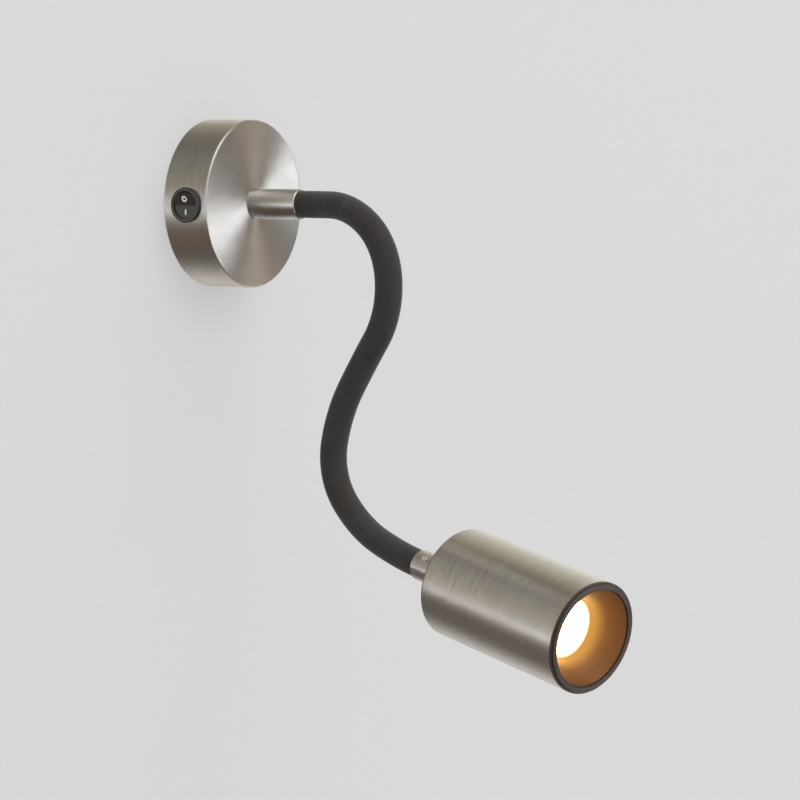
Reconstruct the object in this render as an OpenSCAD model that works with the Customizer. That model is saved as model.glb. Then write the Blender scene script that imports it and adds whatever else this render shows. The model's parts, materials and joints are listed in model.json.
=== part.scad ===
// Bedside wall reading lamp on a bendable neck, in millimetres.
// The origin is the middle of the wall plate's back face, on the wall.
// Minus Y points out of the wall, plus Z is up, and the rocker switch is on the minus X side.
// Where an axial height is given, it is measured from the wall, along minus Y.

/* [Canopy] */
// Outside diameter of the round canopy
canopy_d = 80; // [76:1:110]
// Depth of the canopy, from the wall to its front face
canopy_depth = 24; // [23:0.5:30]
// Thickness of the canopy's spun sheet
canopy_wall = 1.5; // [1:0.1:2]
// Round-over between the canopy's front face and its rim
canopy_round = 0.9; // [0.4:0.1:1.2]

/* [Wall plate] */
// Diameter of the round wall plate
plate_d = 70; // [68:1:72]
// Thickness of the wall plate
plate_t = 1.5; // [1:0.1:2]
// Distance between the middles of the two wall screw slots
slot_spacing = 50; // [46:1:54]
// Width of a wall screw slot
slot_w = 5; // [4:0.5:5.5]
// Length of a wall screw slot from end to end
slot_len = 10; // [8:0.5:11]
// Diameter of the hole for the supply cable
cable_hole_d = 16; // [12:1:18]
// Width of the two ears that carry the canopy
ear_w = 12; // [9:1:14]
// Axial height of the screws that hold the canopy to the ears
ear_screw_h = 8; // [6:0.5:10]
// Thread diameter of the small fixing screws
small_screw_d = 3; // [2.5:0.5:3]

/* [Switch] */
// Diameter of the rocker switch's bezel
bezel_d = 16.5; // [16:0.5:18]
// Height of the bezel above the canopy's rim
bezel_h = 1.4; // [1:0.1:1.8]
// Diameter of the switch's body and of its hole in the rim
switch_d = 14.8; // [14.4:0.1:15]
// Depth of the switch's body behind the bezel
switch_depth = 15; // [14.5:0.5:16]
// Axial height of the switch's middle
switch_h = 12.8; // [12:0.2:13]
// Diameter of the rocker
rocker_d = 12.8; // [12:0.2:13]
// How far the rocker turns from one side to the other, in degrees
rocker_travel = 18; // [12:1:20]

/* [Neck] */
// Outside diameter of the woven neck sleeve
neck_d = 12.7; // [12.4:0.1:12.9]
// Outside diameter of the bendable steel core
core_d = 9.3; // [9:0.1:9.5]
// Bore of the bendable core
core_bore = 5.6; // [5.4:0.1:6]
// Diameter of the cable inside the core
cable_d = 4.8; // [4:0.1:5]
// Length of the first bend, which turns the neck to the side
side_len = 18; // [16:0.5:22]
// How far the first bend turns the neck to the side, in degrees
side_turn = 16; // [10:1:20]
// Length of each following bend of the neck
bend_len = 29.3; // [27:0.1:32]

/* [End sleeves] */
// Outside diameter of the metal sleeves at both ends of the neck
sleeve_d = 14.2; // [14:0.1:15]
// Length of an end sleeve
sleeve_len = 26.5; // [24:0.5:30]
// Depth of the woven sleeve inside the mouth of an end sleeve
mouth_depth = 4; // [3:0.5:6]
// Length of the collar on a neck end fitting
collar_len = 5; // [4.5:0.5:6]
// Thread diameter of the neck end fittings
thread_d = 10; // [9.5:0.5:10]
// Distance of the wall sleeve's set screw from the canopy
wall_screw_at = 5.4; // [4:0.2:7]
// Distance of the head sleeve's set screw from the sleeve's mouth
head_screw_at = 6.4; // [6:0.2:7]

/* [Head] */
// Outside diameter of the spotlight head
head_d = 50; // [49:0.5:56]
// Length of the head from its back to the front ring's outer edge
head_len = 82; // [81:0.5:90]
// Wall thickness of the head
head_wall = 2; // [1.5:0.1:2.2]
// Round-over at the back of the head
head_round = 1.6; // [0.8:0.1:2]
// Inside diameter of the front ring
ring_bore = 44; // [43:0.5:44.4]
// Thickness of the front ring's outer edge
ring_edge = 0.8; // [0.6:0.1:1.2]
// Height of the raised inner part of the front ring
ring_step = 0.7; // [0.4:0.1:1]
// How far the front ring reaches into the head
ring_reach = 6; // [5:0.5:8]
// How far the lamp's face lies behind the front ring's face
recess = 15.3; // [14:0.1:16]
// Diameter of the baffle's opening over the lamp's face
baffle_bore = 27; // [26:0.5:29]

/* [Lamp] */
// Diameter of the lamp's face
lamp_d = 35; // [34:0.5:36]
// Length of the lamp without its pins
lamp_len = 37.5; // [36:0.5:38]
// Distance between the two lamp pins
pin_pitch = 10; // [10:0.1:10.2]
// Diameter of the head of a lamp pin
pin_head_d = 4.8; // [4.6:0.1:5]
// Diameter of the neck of a lamp pin
pin_neck_d = 3; // [2.8:0.1:3.2]
// How far the lamp turns in its holder, in degrees
lamp_turn = 18; // [15:1:20]
// Diameter of the ceramic lampholder
holder_d = 27; // [26:0.5:30]
// Thickness of the ceramic lampholder
holder_t = 15; // [14:0.5:15.5]

/* [Hidden] */
$fn = 64;
// Play between a screw or thread and its hole, on the radius
thread_gap = 0.05;
// Play of a sliding or lightly pressed fit, on the radius
fit_gap = 0.1;
// Gap between parts that sit beside each other without touching
seat_gap = 0.3;
// Overrun of every cut
cut = 0.5;
// Thickness of small stamped parts
sheet_t = 1;

canopy_r = canopy_d / 2;
plate_r = plate_d / 2;
cup_r = canopy_r - canopy_wall;
small_r = small_screw_d / 2;
thread_r = thread_d / 2;

// The neck's bends after the side turn, in degrees, plus is down, chosen to follow the lamp's S
bend_turn = [37, 50, 41, -3, -22, -56, -27, -10];
bend_count = len(bend_turn);
// Number of bends that each rigid length of the neck holds, after the side turn
held_count = [1, 1, 2, 2, 1, 1];
joint_count = len(held_count);
// First and last bend of the rigid length that follows joint n
function first_bend(n) = n <= 1 ? 0 : first_bend(n - 1) + held_count[n - 2];
function last_bend(n) = first_bend(n) + held_count[n - 1] - 1;
// Gap in the core at each joint of the neck
core_gap = 3.4;
// Hairline between two bends of the core, the woven sleeve or the cable, each a solid of its own
bend_gap = 0.02;
// Where the rigid middle of a length of the neck is taken to lie
middle_share = 0.5;
core_r = core_d / 2;
core_bore_r = core_bore / 2;
cable_r = cable_d / 2;
woven_r = neck_d / 2;
woven_bore_r = core_r + fit_gap;

// Route of the neck

function to_rad(a) = a * PI / 180;
// Direction of the neck below the horizontal at the start of bend k
function dip(k) = k <= 0 ? 0 : dip(k - 1) + bend_turn[k - 1];
// Step of one bend in its own plane, as out and up
function bend_step(k) = bend_turn[k] == 0
    ? bend_len * [cos(dip(k)), -sin(dip(k))]
    : bend_len / to_rad(bend_turn[k])
        * [sin(dip(k + 1)) - sin(dip(k)), cos(dip(k + 1)) - cos(dip(k))];
// Place of the start of bend k in the plane of the S
function bend_at(k) = k <= 0 ? [0, 0] : bend_at(k - 1) + bend_step(k - 1);

side_radius = side_len / to_rad(side_turn);
neck_start = canopy_depth + sleeve_len;
s_plane_at = [
    -side_radius * (1 - cos(side_turn)),
    -neck_start - side_radius * sin(side_turn),
    0
];
neck_end = bend_at(bend_count);
neck_end_dip = dip(bend_count);

// Puts a shape that stands on the XY plane onto the wall, with its Z axis pointing out of the wall
module outward() {
    rotate([90, 0, 0]) children();
}

// Frame of the plane that holds the S, with X out of the wall and Z up
module in_s_plane() {
    translate(s_plane_at) rotate([0, 0, -90 - side_turn]) children();
}

// Frame of the spotlight head, with Z along its axis from the mouth of the head sleeve, and X down
module at_head() {
    in_s_plane()
        translate([neck_end.x, 0, neck_end.y])
            rotate([0, 90 + neck_end_dip, 0]) children();
}

module ring_2d(outer_r, inner_r) {
    difference() {
        circle(r = outer_r);
        if (inner_r > 0) circle(r = inner_r);
    }
}

// A piece of round tube or rod along Z
module pipe(outer_r, inner_r, height) {
    linear_extrude(height = height) ring_2d(outer_r, inner_r);
}

// Stretch of one bend from share a to share b of its length, starting at a point of the XY plane
module bend_piece(start, heading, turn, length, a, b, outer_r, inner_r) {
    if (turn == 0) {
        translate([start.x, start.y, 0])
            rotate([0, 0, heading]) translate([a * length, 0, 0]) rotate([0, 90, 0])
                pipe(outer_r, inner_r, (b - a) * length);
    } else {
        radius = length / to_rad(abs(turn));
        side = turn > 0 ? 1 : -1;
        middle = start + side * radius * [sin(heading), -cos(heading)];
        first = turn > 0 ? heading + 90 - turn * b : heading - 90 - turn * a;
        translate([middle.x, middle.y, 0])
            rotate([0, 0, first])
                rotate_extrude(angle = abs(turn) * (b - a))
                    translate([radius, 0]) ring_2d(outer_r, inner_r);
    }
}

// Stretch of the side turn, cut short by gap at its far end
module side_piece(a, b, outer_r, inner_r, gap = 0) {
    translate([0, -neck_start, 0])
        rotate([0, 0, -90])
            bend_piece([0, 0], 0, side_turn, side_len, a, b - gap / side_len, outer_r, inner_r);
}

// Stretch of bend k of the S, cut short by gap at its far end
module s_piece(k, a, b, outer_r, inner_r, gap = 0) {
    in_s_plane() rotate([90, 0, 0])
        bend_piece(
            bend_at(k), -dip(k), bend_turn[k], bend_len, a, b - gap / bend_len, outer_r, inner_r
        );
}

// Share of a bend that half of the core's gap takes
gap_share = core_gap / 2 / bend_len;
side_gap_share = core_gap / 2 / side_len;

// Rigid length n of the neck's core, from joint n to joint n + 1
module core_length(n) {
    if (n == 0) {
        outward() translate([0, 0, core_start])
            pipe(core_r, core_bore_r, neck_start - core_start - bend_gap);
        side_piece(0, 1 - side_gap_share, core_r, core_bore_r);
    } else {
        first = first_bend(n);
        last = last_bend(n);
        for (k = [first:last])
            s_piece(
                k, k == first ? gap_share : 0,
                k == last && n < joint_count ? 1 - gap_share : 1, core_r, core_bore_r, bend_gap
            );
        if (n == joint_count)
            at_head() pipe(core_r, core_bore_r, neck_start - core_start);
    }
}

// Stretch of the neck around joint n, from the middle of one rigid length to the middle of the next
module around_joint(n, outer_r, inner_r) {
    if (n == 1) {
        side_piece(0, 1, outer_r, inner_r, bend_gap);
    } else {
        from_share = held_count[n - 2] == 1 ? middle_share : 0;
        s_piece(last_bend(n - 1), from_share, 1, outer_r, inner_r, bend_gap);
    }
    to_share = held_count[n - 1] == 1 && n < joint_count ? middle_share : 1;
    s_piece(first_bend(n), 0, to_share, outer_r, inner_r, bend_gap);
}

module woven_length(n) {
    if (n == 1)
        outward() translate([0, 0, neck_start - woven_inside])
            pipe(woven_r, woven_bore_r, woven_inside - bend_gap);
    around_joint(n, woven_r, woven_bore_r);
    if (n == joint_count) at_head() pipe(woven_r, woven_bore_r, woven_inside);
}

module cable_length(n) {
    if (n == 1)
        outward() translate([0, 0, cable_start])
            cylinder(r = cable_r, h = neck_start - cable_start - bend_gap);
    around_joint(n, cable_r, 0);
    if (n == joint_count) at_head() cylinder(r = cable_r, h = neck_start - cable_start);
}

// End sleeves and end fittings, drawn along Z from the mouth that the neck enters

// Play of the woven sleeve and of the collar in the end sleeve's mouth
sleeve_play = 0.2;
sleeve_r = sleeve_d / 2;
collar_r = woven_r + 0.5 * sleeve_play;
mouth_r = woven_r + sleeve_play;
woven_inside = mouth_depth - fit_gap;
collar_end = mouth_depth + collar_len;
// Depth of the socket in the collar that the core is crimped into
socket_depth = 0.7 * collar_len;
// Length of the fitting's thread past the sleeve
tail_len = 8;
fitting_len = sleeve_len + tail_len - mouth_depth;
core_inside = mouth_depth + socket_depth - fit_gap;
core_start = neck_start - core_inside;
// Length of the cable that stands out of the end of a fitting
cable_tail = 2;
cable_inside = sleeve_len + tail_len + cable_tail;
cable_start = neck_start - cable_inside;
fitting_bore_r = core_bore_r;
sleeve_bevel = 0.35;
set_screw_len = sleeve_r - thread_r - 3 * thread_gap;

module end_sleeve(screw_at, screw_turn) {
    difference() {
        rotate_extrude() polygon([
            [mouth_r, 0],
            [sleeve_r - sleeve_bevel, 0],
            [sleeve_r, sleeve_bevel],
            [sleeve_r, sleeve_len],
            [thread_r + thread_gap, sleeve_len],
            [thread_r + thread_gap, collar_end],
            [mouth_r, collar_end]
        ]);
        translate([0, 0, screw_at]) rotate([0, 90, screw_turn])
            cylinder(r = small_r + thread_gap, h = sleeve_r + cut);
    }
}

// A set screw with a hexagon socket, standing on the XY plane
module set_screw(length) {
    difference() {
        cylinder(r = small_r, h = length);
        translate([0, 0, 0.5 * length]) cylinder(r = 0.5 * small_r, h = length, $fn = 6);
    }
}

module end_fitting() {
    translate([0, 0, mouth_depth]) difference() {
        union() {
            cylinder(r = collar_r, h = collar_len - fit_gap);
            cylinder(r = thread_r, h = fitting_len);
        }
        translate([0, 0, -cut]) cylinder(r = fitting_bore_r, h = fitting_len + 2 * cut);
        translate([0, 0, -cut]) cylinder(r = core_r + thread_gap, h = socket_depth + cut);
    }
}

nut_af = 1.4 * thread_d;
nut_t = 0.3 * thread_d;
washer_t = 0.8;
washer_r = 0.8 * thread_d;

module hex_nut() {
    difference() {
        cylinder(r = nut_af / sqrt(3), h = nut_t, $fn = 6);
        translate([0, 0, -cut]) cylinder(r = thread_r + thread_gap, h = nut_t + 2 * cut);
    }
}

tooth_count = 14;
module toothed_washer() {
    tooth_w = 0.12 * washer_r;
    difference() {
        cylinder(r = washer_r, h = washer_t);
        translate([0, 0, -cut]) cylinder(r = thread_r + thread_gap, h = washer_t + 2 * cut);
        for (k = [0:tooth_count - 1])
            rotate([0, 0, k * 360 / tooth_count])
                translate([0.84 * washer_r, -tooth_w / 2, -cut])
                    cube([washer_r, tooth_w, washer_t + 2 * cut]);
    }
}

// Turns a shape drawn from the sleeve's mouth round, so that it runs from the neck to the canopy
module wall_end() {
    outward() translate([0, 0, neck_start]) rotate([180, 0, 0]) children();
}

// Wall side

module canopy_cup() {
    color("silver") outward() difference() {
        rotate_extrude() difference() {
            union() {
                square([canopy_r - canopy_round, canopy_depth]);
                square([canopy_r, canopy_depth - canopy_round]);
                translate([canopy_r - canopy_round, canopy_depth - canopy_round]) circle(r = canopy_round);
            }
            translate([0, -cut]) square([cup_r, canopy_depth - canopy_wall + cut]);
            translate([-canopy_r, 0]) square([canopy_r, canopy_depth]);
        }
        translate([0, 0, canopy_depth - canopy_wall - cut])
            cylinder(r = thread_r + fit_gap, h = canopy_wall + 2 * cut);
        translate([-canopy_r - cut, 0, switch_h]) rotate([0, 90, 0])
            cylinder(r = switch_r + fit_gap, h = 4 * canopy_wall + cut);
        for (side = [-1, 1])
            translate([0, side * canopy_r, ear_screw_h]) rotate([90, 0, 0])
                translate([0, 0, -canopy_r / 8])
                    cylinder(r = small_r + thread_gap, h = canopy_r / 4);
    }
}

// The ears stand just inside the canopy's rim
ear_t = plate_t;
ear_top = ear_screw_h + 1.5 * small_screw_d;
ear_out = sqrt(pow(cup_r, 2) - pow(ear_w / 2, 2)) - seat_gap;

module slot_2d() {
    translate([-(slot_len - slot_w) / 2, -slot_w / 2]) square([slot_len - slot_w, slot_w]);
    for (side = [-1, 1])
        translate([side * (slot_len - slot_w) / 2, 0]) circle(d = slot_w);
}

earth_at = [-0.42 * plate_r, 0.42 * plate_r];
earth_screw_r = 1.3 * small_r;

module mounting_plate() {
    color("lightgray") outward() difference() {
        union() {
            linear_extrude(height = plate_t) {
                circle(r = plate_r);
                square([ear_w, 2 * ear_out], center = true);
            }
            for (side = [-1, 1])
                translate([-ear_w / 2, side * ear_out - (side > 0 ? ear_t : 0), 0])
                    cube([ear_w, ear_t, ear_top]);
        }
        translate([0, 0, -cut]) cylinder(d = cable_hole_d, h = plate_t + 2 * cut);
        for (side = [-1, 1]) {
            translate([side * slot_spacing / 2, 0, -cut])
                linear_extrude(height = plate_t + 2 * cut) slot_2d();
            translate([0, side * (ear_out + cut), ear_screw_h]) rotate([side * 90, 0, 0])
                cylinder(r = small_r + thread_gap, h = ear_t + 2 * cut);
            translate([side * 0.36 * block_w, block_y, -cut])
                cylinder(r = 0.8 * small_r + thread_gap, h = plate_t + 2 * cut);
        }
        translate([earth_at.x, earth_at.y, -cut]) cylinder(r = earth_screw_r + thread_gap, h = plate_t + 2 * cut);
    }
}

canopy_screw_len = canopy_r - ear_out + ear_t + small_screw_d / 6;

module canopy_screws() {
    color("dimgray") outward() for (side = [-1, 1])
        translate([0, side * (canopy_r - small_screw_d / 10), ear_screw_h])
            rotate([side * 90, 0, 0]) translate([0, 0, canopy_screw_len]) rotate([180, 0, 0])
                set_screw(canopy_screw_len);
}

// Terminal block and the wires of the canopy

block_w = 25;
block_l = 16;
block_t = 11;
block_y = -0.6 * plate_r;
block_pitch = block_w / 3;
block_bore_r = 1.7;
block_screw_r = 1.4;
block_screw_h = 0.6 * block_t;
block_bore_h = plate_t + 0.4 * block_t;

module terminal_block() {
    color("ivory") outward() difference() {
        translate([-block_w / 2, block_y - block_l / 2, plate_t]) cube([block_w, block_l, block_t]);
        for (pole = [-1:1]) {
            translate([pole * block_pitch, block_y - block_l / 2 - cut, block_bore_h]) rotate([-90, 0, 0])
                cylinder(r = block_bore_r, h = block_l + 2 * cut);
            for (end = [-1, 1])
                translate([pole * block_pitch, block_y + end * block_l / 4, block_bore_h])
                    cylinder(r = block_screw_r + thread_gap, h = block_t);
        }
    }
}

module terminal_screws() {
    color("goldenrod") outward() for (pole = [-1:1]) for (end = [-1, 1])
        translate([pole * block_pitch, block_y + end * block_l / 4, block_bore_h + 0.8 * block_bore_r])
            difference() {
                cylinder(r = block_screw_r, h = block_screw_h - 0.8 * block_bore_r - small_r);
                translate([-block_screw_r - cut, -0.2 * block_screw_r, block_screw_h - 0.8 * block_bore_r - 1.4 * small_r])
                    cube([2 * block_screw_r + 2 * cut, 0.4 * block_screw_r, small_r]);
            }
}

wire_r = 0.9;
// Radius of the ball at each bend of a wire
elbow_r = 1.08 * wire_r;
earth_head_r = 1.9 * earth_screw_r;
// Height of the wire that lies under the earth screw's head, and of the head
earth_wire_z = plate_t + elbow_r + fit_gap;
earth_head_z = earth_wire_z + elbow_r;

module earth_screw() {
    color("goldenrod") outward() translate([earth_at.x, earth_at.y, 0]) {
        difference() {
            union() {
                cylinder(r = earth_screw_r, h = earth_head_z + sheet_t);
                translate([0, 0, earth_head_z]) cylinder(r = earth_head_r, h = earth_screw_r);
            }
            translate([-2 * earth_screw_r, -0.2 * earth_screw_r, earth_head_z + 0.6 * earth_screw_r])
                cube([4 * earth_screw_r, 0.4 * earth_screw_r, earth_screw_r]);
        }
    }
}

// A round wire through a list of points, in exact cylinders and balls
module wire(points) {
    for (k = [0:len(points) - 2]) {
        step = points[k + 1] - points[k];
        level = norm([step.x, step.y]);
        translate(points[k]) rotate([0, atan2(level, step.z), atan2(step.y, step.x)])
            cylinder(r = wire_r, h = norm(step), $fn = 24);
        if (k > 0) translate(points[k]) sphere(r = elbow_r, $fn = 24);
    }
}

// Spade tabs of the switch
tab_w = 4.8;
tab_t = 0.8;
tab_len = 6;
tab_x = 3.2;

// Where the wires leave the neck's cable, just behind the fitting
wires_from = cable_start - 0.7 * wire_r;
// Spread of the three wires where they leave the cable
wire_spread = 0.55 * cable_d;
block_top_y = block_y + block_l / 2;
// Height at which the wires cross the canopy
wire_h = 0.5 * (wires_from + plate_t);
tab_end_x = -canopy_r + switch_depth + tab_len;

module live_wires() {
    color("saddlebrown") outward() {
        wire([
            [-block_pitch, block_top_y - block_l / 8, block_bore_h],
            [-block_pitch, block_top_y + block_l / 4, block_bore_h],
            [tab_end_x + 2 * wire_r, -tab_x, 0.7 * switch_h],
            [tab_end_x + wire_r, -tab_x, switch_h]
        ]);
        wire([
            [tab_end_x + wire_r, tab_x, switch_h],
            [0.5 * tab_end_x, tab_x, wire_h],
            [-wire_spread, wire_spread / 2, wire_h],
            [-wire_spread / 2, 0, wires_from]
        ]);
    }
}

module neutral_wire() {
    color("steelblue") outward() wire([
        [0, block_top_y - block_l / 8, block_bore_h],
        [0, block_top_y + block_l / 4, block_bore_h],
        [wire_spread / 2, -wire_spread, wire_h],
        [wire_spread / 2, -wire_spread / 3, wires_from]
    ]);
}

module earth_wire() {
    color("yellowgreen") outward() {
        difference() {
            wire([
                [block_pitch, block_top_y - block_l / 8, block_bore_h],
                [block_pitch, block_top_y + block_l / 4, block_bore_h],
                [block_pitch, 0.6 * plate_r, wire_h],
                [earth_at.x, 0.6 * plate_r, wire_h],
                [earth_at.x, earth_at.y + earth_head_r + 2 * wire_r, earth_wire_z],
                [earth_at.x, earth_at.y, earth_wire_z]
            ]);
            translate([earth_at.x, earth_at.y, plate_t - cut])
                cylinder(r = earth_screw_r + thread_gap, h = 2 * elbow_r + 2 * cut);
        }
        wire([
            [block_pitch - 3 * wire_r, block_top_y + seat_gap, block_bore_h],
            [1.5 * wire_spread, wire_spread, wire_h],
            [wire_spread / 3, wire_spread / 2, wires_from]
        ]);
    }
}

module wall_end_fitting() {
    color("silver") wall_end() end_fitting();
}

module wall_washer() {
    color("gainsboro") outward() translate([0, 0, canopy_depth - canopy_wall - washer_t]) toothed_washer();
}

module wall_nut() {
    color("gainsboro") outward() translate([0, 0, canopy_depth - canopy_wall - washer_t - nut_t]) hex_nut();
}

module wall_sleeve() {
    color("silver") wall_end() end_sleeve(sleeve_len - wall_screw_at, wall_screw_turn);
}
// The wall sleeve's set screw is underneath
wall_screw_turn = 90;

module wall_sleeve_screw() {
    color("dimgray") wall_end() translate([0, 0, sleeve_len - wall_screw_at])
        rotate([0, 90, wall_screw_turn]) translate([0, 0, thread_r + thread_gap]) set_screw(set_screw_len);
}

// Rocker switch, drawn with Z out of the rim and X up

switch_r = switch_d / 2;
bezel_r = bezel_d / 2;
rocker_r = rocker_d / 2;
switch_wall = 0.9;
// Depth of the rocker's pivot below the bezel's foot
pivot_depth = 0.5;
pivot_r = 0.7;
rocker_play = 0.2;
rocker_top = bezel_h - rocker_play;
// Slope of each half of the rocker's face, in degrees
face_slope = rocker_travel / 2;
stem_r = 1.9;
stem_end = 5;
plunger_r = 0.9;
plunger_tip = 8;
blade_t = 0.5;
blade_len = 8.4;
blade_w = 3.2;
blade_depth = pivot_depth + plunger_tip + seat_gap / 5 + blade_t / 2;
// Turn of the contact blade for each degree of the rocker
blade_share = 0.8;
mark_depth = 0.15;

module on_rim() {
    outward() translate([-canopy_r, 0, switch_h]) rotate([0, -90, 0]) rotate([0, 0, 90]) children();
}

// Tilts what rides on the rocker to the side that is pressed in, which is the lower one
module pressed_on() {
    translate([0, 0, -pivot_depth]) rotate([0, -face_slope, 0]) translate([0, 0, pivot_depth]) children();
}

module switch_housing() {
    color("#2b2a2a") on_rim() difference() {
        union() {
            rotate_extrude() difference() {
                union() {
                    square([bezel_r, 0.6 * bezel_h]);
                    square([bezel_r - 0.4 * bezel_h, bezel_h]);
                    translate([bezel_r - 0.4 * bezel_h, 0.6 * bezel_h]) circle(r = 0.4 * bezel_h);
                }
                translate([-bezel_r, -cut]) square([bezel_r, bezel_h + 2 * cut]);
            }
            translate([0, 0, -switch_depth]) cylinder(r = switch_r, h = switch_depth);
        }
        translate([0, 0, switch_wall - switch_depth])
            cylinder(r = switch_r - switch_wall, h = switch_depth + bezel_h + cut);
        rotate([90, 0, 0]) translate([0, -pivot_depth, -switch_r - cut])
            cylinder(r = pivot_r + thread_gap, h = 2 * switch_r + 2 * cut);
        for (side = [-1, 1])
            translate([side * tab_x - tab_t / 2 - thread_gap, -tab_w / 2 - thread_gap, -switch_depth - cut])
                cube([tab_t + 2 * thread_gap, tab_w + 2 * thread_gap, switch_wall + 2 * cut]);
    }
}

// Outline of the rocker across its pivot, a shallow valley on a flat base
module rocker_2d() {
    rise = rocker_r * tan(face_slope);
    polygon([
        [-rocker_r, -pivot_depth - 0.3 * rocker_r],
        [rocker_r, -pivot_depth - 0.3 * rocker_r],
        [rocker_r, rocker_top - 0.5 * rise + rise],
        [0, rocker_top - 0.5 * rise],
        [-rocker_r, rocker_top - 0.5 * rise + rise]
    ]);
}

module switch_rocker() {
    color("#333231") on_rim() pressed_on() difference() {
        union() {
            intersection() {
                translate([0, rocker_r, 0]) rotate([90, 0, 0]) linear_extrude(height = rocker_d) rocker_2d();
                translate([0, 0, -pivot_depth]) sphere(r = rocker_r);
            }
            translate([0, switch_r - switch_wall / 2, -pivot_depth]) rotate([90, 0, 0])
                cylinder(r = pivot_r, h = switch_d - switch_wall);
            translate([0, 0, -pivot_depth - stem_end]) cylinder(r = stem_r, h = stem_end);
        }
        translate([0, 0, -pivot_depth - stem_end - cut])
            cylinder(r = plunger_r + fit_gap, h = stem_end - pivot_r + cut);
        mark_cuts();
    }
}

// The two marks on the rocker, a ring on the upper half and a bar on the lower half
mark_x = 0.5 * rocker_r;
mark_ring_r = 0.17 * rocker_r;
mark_line = 0.07 * rocker_r;
mark_bar = 0.4 * rocker_r;
module on_rocker_face(side) {
    translate([0, 0, rocker_top - 0.5 * rocker_r * tan(face_slope)])
        rotate([0, -side * face_slope, 0]) translate([side * mark_x, 0, 0]) children();
}
module mark_cuts() {
    on_rocker_face(1) translate([0, 0, -mark_depth])
        pipe(mark_ring_r + mark_line, mark_ring_r - mark_line, mark_depth + cut);
    on_rocker_face(-1) translate([-mark_bar / 2, -mark_line, -mark_depth])
        cube([mark_bar, 2 * mark_line, mark_depth + cut]);
}

module rocker_marks() {
    color("white") on_rim() pressed_on() {
        on_rocker_face(1) translate([0, 0, -mark_depth])
            pipe(mark_ring_r + mark_line, mark_ring_r - mark_line, mark_depth);
        on_rocker_face(-1) translate([-mark_bar / 2, -mark_line, -mark_depth])
            cube([mark_bar, 2 * mark_line, mark_depth]);
    }
}

module switch_plunger() {
    color("white") on_rim() pressed_on() translate([0, 0, -pivot_depth - plunger_tip]) {
        translate([0, 0, plunger_r]) cylinder(r = plunger_r, h = plunger_tip - stem_end + plunger_r / 2);
        translate([0, 0, plunger_r]) sphere(r = plunger_r);
    }
}

module switch_spring() {
    color("gainsboro") on_rim() pressed_on()
        translate([0, 0, -pivot_depth - stem_end + 1.5 * plunger_r + fit_gap])
            pipe(plunger_r, 0.6 * plunger_r, stem_end - pivot_r - 1.5 * plunger_r - 2 * fit_gap);
}

module switch_blade() {
    color("goldenrod") on_rim() translate([0, 0, -blade_depth])
        rotate([0, blade_share * face_slope, 0]) {
            translate([-blade_len / 2, -blade_w / 2, -blade_t / 2]) cube([blade_len, blade_w, blade_t]);
            translate([0, blade_w / 2, -blade_t / 2]) rotate([90, 0, 0]) cylinder(r = blade_t / 2, h = blade_w);
        }
}

// The post carries the blade, and the pad under the blade's upper end closes the circuit
module switch_terminals() {
    post_h = switch_depth - switch_wall - blade_depth - 1.2 * blade_t;
    pad_drop = blade_len / 2 * sin(blade_share * face_slope) + blade_t / 2;
    pad_h = switch_depth - blade_depth - pad_drop - seat_gap;
    color("goldenrod") on_rim() {
        translate([-tab_x - tab_t / 2, -tab_w / 2, -switch_depth - tab_len])
            cube([tab_t, tab_w, tab_len + switch_wall + tab_t]);
        translate([-tab_x - tab_t / 2, -blade_w / 2, switch_wall - switch_depth])
            cube([tab_x + tab_t, blade_w, tab_t]);
        translate([-tab_t / 2, -blade_w / 2, switch_wall - switch_depth]) cube([tab_t, blade_w, post_h]);
        translate([tab_x - tab_t / 2, -tab_w / 2, -switch_depth - tab_len])
            cube([tab_t, tab_w, tab_len + pad_h]);
    }
}

// Head side

housing_len = head_len - ring_edge;
head_r = head_d / 2;
head_bore_r = head_r - head_wall;
back_in = sleeve_len + head_wall;
face_z = sleeve_len + head_len + ring_step;
ring_z = sleeve_len + housing_len;
lamp_face_z = face_z - recess;
lamp_base_z = lamp_face_z - lamp_len;
holder_front_z = lamp_base_z - seat_gap;
holder_back_z = holder_front_z - holder_t;
holder_r = holder_d / 2;
lamp_r = lamp_d / 2;
pin_head_r = pin_head_d / 2;
pin_neck_r = pin_neck_d / 2;
pin_ring_r = pin_pitch / 2;

module head_end_fitting() {
    color("silver") at_head() end_fitting();
}

// The head sleeve's set screw faces up and to the switch side
head_screw_turn = 220;

module head_sleeve() {
    color("silver") at_head() end_sleeve(head_screw_at, head_screw_turn);
}

module head_sleeve_screw() {
    screw_len = sleeve_r - collar_r - 2 * thread_gap;
    color("dimgray") at_head() translate([0, 0, head_screw_at]) rotate([0, 90, head_screw_turn])
        translate([0, 0, collar_r + thread_gap]) set_screw(screw_len);
}

module head_washer() {
    color("gainsboro") at_head() translate([0, 0, back_in]) toothed_washer();
}

module head_nut() {
    color("gainsboro") at_head() translate([0, 0, back_in + washer_t + sheet_t]) hex_nut();
}

module head_housing() {
    color("silver") at_head() translate([0, 0, sleeve_len]) difference() {
        rotate_extrude() difference() {
            union() {
                translate([0, head_round]) square([head_r, housing_len - head_round]);
                square([head_r - head_round, housing_len]);
                translate([head_r - head_round, head_round]) circle(r = head_round);
            }
            translate([0, head_wall]) square([head_bore_r, housing_len]);
            translate([-head_r, 0]) square([head_r, housing_len]);
        }
        translate([0, 0, -cut]) cylinder(r = thread_r + fit_gap, h = head_wall + 2 * cut);
    }
}

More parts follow.
